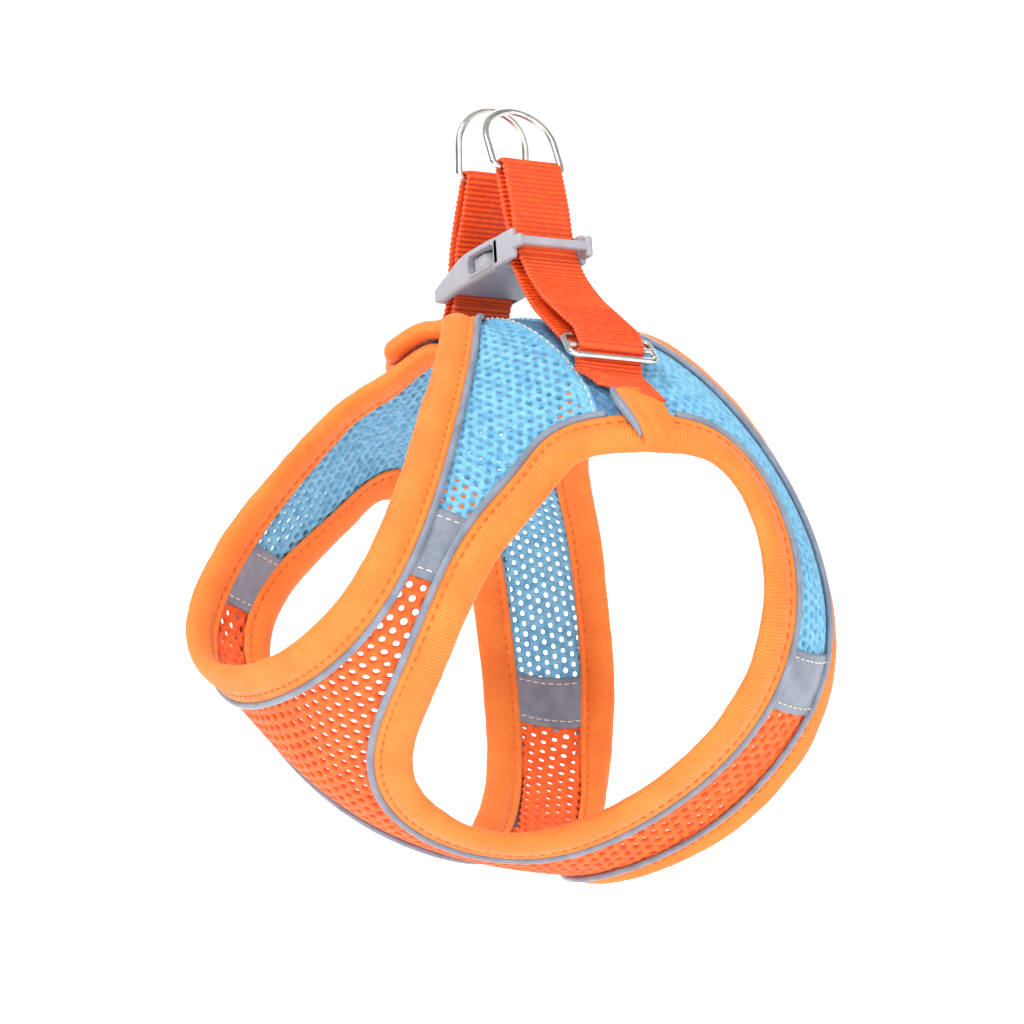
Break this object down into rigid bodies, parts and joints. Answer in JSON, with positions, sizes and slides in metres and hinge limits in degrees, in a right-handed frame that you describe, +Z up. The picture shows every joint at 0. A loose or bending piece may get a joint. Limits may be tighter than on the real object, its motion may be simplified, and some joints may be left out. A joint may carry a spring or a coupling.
{
  "type": "no pull dog harness",
  "caption": "Step-in mesh dog vest with two leg holes, padded bound edges, paired back straps on sliders, leash rings and a side-release buckle.",
  "frame": {"origin": "the middle of the torso opening, level with the upper rib cage", "axes": "+Z up, -Y towards the dog's head, +X towards its left side"},
  "size_m": [0.1732, 0.1616, 0.235],
  "materials": {
    "blue_mesh": "air mesh knit with open holes",
    "patch": "air mesh backed by a darker lining",
    "orange_mesh": "air mesh knit with open holes",
    "reflective": "smooth reflective tape",
    "piping": "reflective cord",
    "binding": "ribbed elastic binding over a soft filling",
    "webbing": "ribbed nylon webbing",
    "metal": "polished nickel plate on steel",
    "plastic": "satin moulded plastic",
    "hook_tape": "hook and loop tape"
  },
  "bodies": {
    "vest": {"buckle_socket": "plastic", "chest_panel": "orange_mesh", "hook_strip": "hook_tape", "left_back_patch": "patch", "left_flap_binding": "binding", "left_front_band": "reflective", "left_girth_band": "reflective", "left_girth_panel": "blue_mesh", "left_leg_binding": "binding", "left_leg_piping": "piping", "left_strap_inner": "webbing", "left_strap_outer": "webbing", "left_wrap_binding": "binding", "left_wrap_piping": "piping", "left_yoke_panel": "blue_mesh", "loop_strip": "hook_tape", "neck_binding": "binding", "neck_piping": "piping", "rear_binding": "binding", "rear_piping": "piping", "right_back_patch": "patch", "right_flap_binding": "binding", "right_front_band": "reflective", "right_girth_band": "reflective", "right_girth_panel": "blue_mesh", "right_leg_binding": "binding", "right_leg_piping": "piping", "right_strap_inner": "webbing", "right_strap_outer": "webbing", "right_strap_top": "webbing", "right_wrap_binding": "binding", "right_wrap_piping": "piping", "right_yoke_panel": "blue_mesh"},
    "left_strap_head": {"left_strap_top": "webbing", "buckle_plug": "plastic"},
    "left_ring": {"left_d_ring": "metal"},
    "right_ring": {"right_d_ring": "metal"},
    "prong_front": {"buckle_prong_front": "plastic"},
    "prong_back": {"buckle_prong_back": "plastic"},
    "left_slider_body": {"left_slider": "metal", "left_return_loop": "webbing"},
    "right_slider_body": {"right_slider": "metal", "right_return_loop": "webbing"}
  },
  "joints": [
    {"name": "buckle_release", "type": "slide", "parent": "vest", "child": "left_strap_head", "axis": [0.9914, 0, 0.1305], "range_m": [0, 0.024], "deforming": ["left_strap_inner", "left_strap_outer"]},
    {"name": "prong_front_squeeze", "type": "hinge", "parent": "left_strap_head", "child": "prong_front", "pos_m": [0.01091, -0.0224, 0.07904], "axis": [-0.1305, 0, 0.9914], "range_deg": [-6, 0], "stiffness_Nm_per_rad": 0.05},
    {"name": "prong_back_squeeze", "type": "hinge", "parent": "left_strap_head", "child": "prong_back", "pos_m": [0.01091, -0.0068, 0.07904], "axis": [-0.1305, 0, 0.9914], "range_deg": [0, 6], "stiffness_Nm_per_rad": 0.05},
    {"name": "left_ring_swing", "type": "hinge", "parent": "left_strap_head", "child": "left_ring", "pos_m": [0.011, -0.0146, 0.1056], "axis": [0, 1, 0], "range_deg": [-5, 110]},
    {"name": "right_ring_swing", "type": "hinge", "parent": "vest", "child": "right_ring", "pos_m": [-0.011, -0.0146, 0.1056], "axis": [0, 1, 0], "range_deg": [-90, 5]},
    {"name": "left_slider_slide", "type": "slide", "parent": "vest", "child": "left_slider_body", "axis": [-0.76, 0.1849, 0.6231], "range_m": [-0.003, 0.004], "deforming": ["left_return_loop"]},
    {"name": "right_slider_slide", "type": "slide", "parent": "vest", "child": "right_slider_body", "axis": [0.76, 0.1849, 0.6231], "range_m": [-0.003, 0.004], "deforming": ["right_return_loop"]}
  ]
}
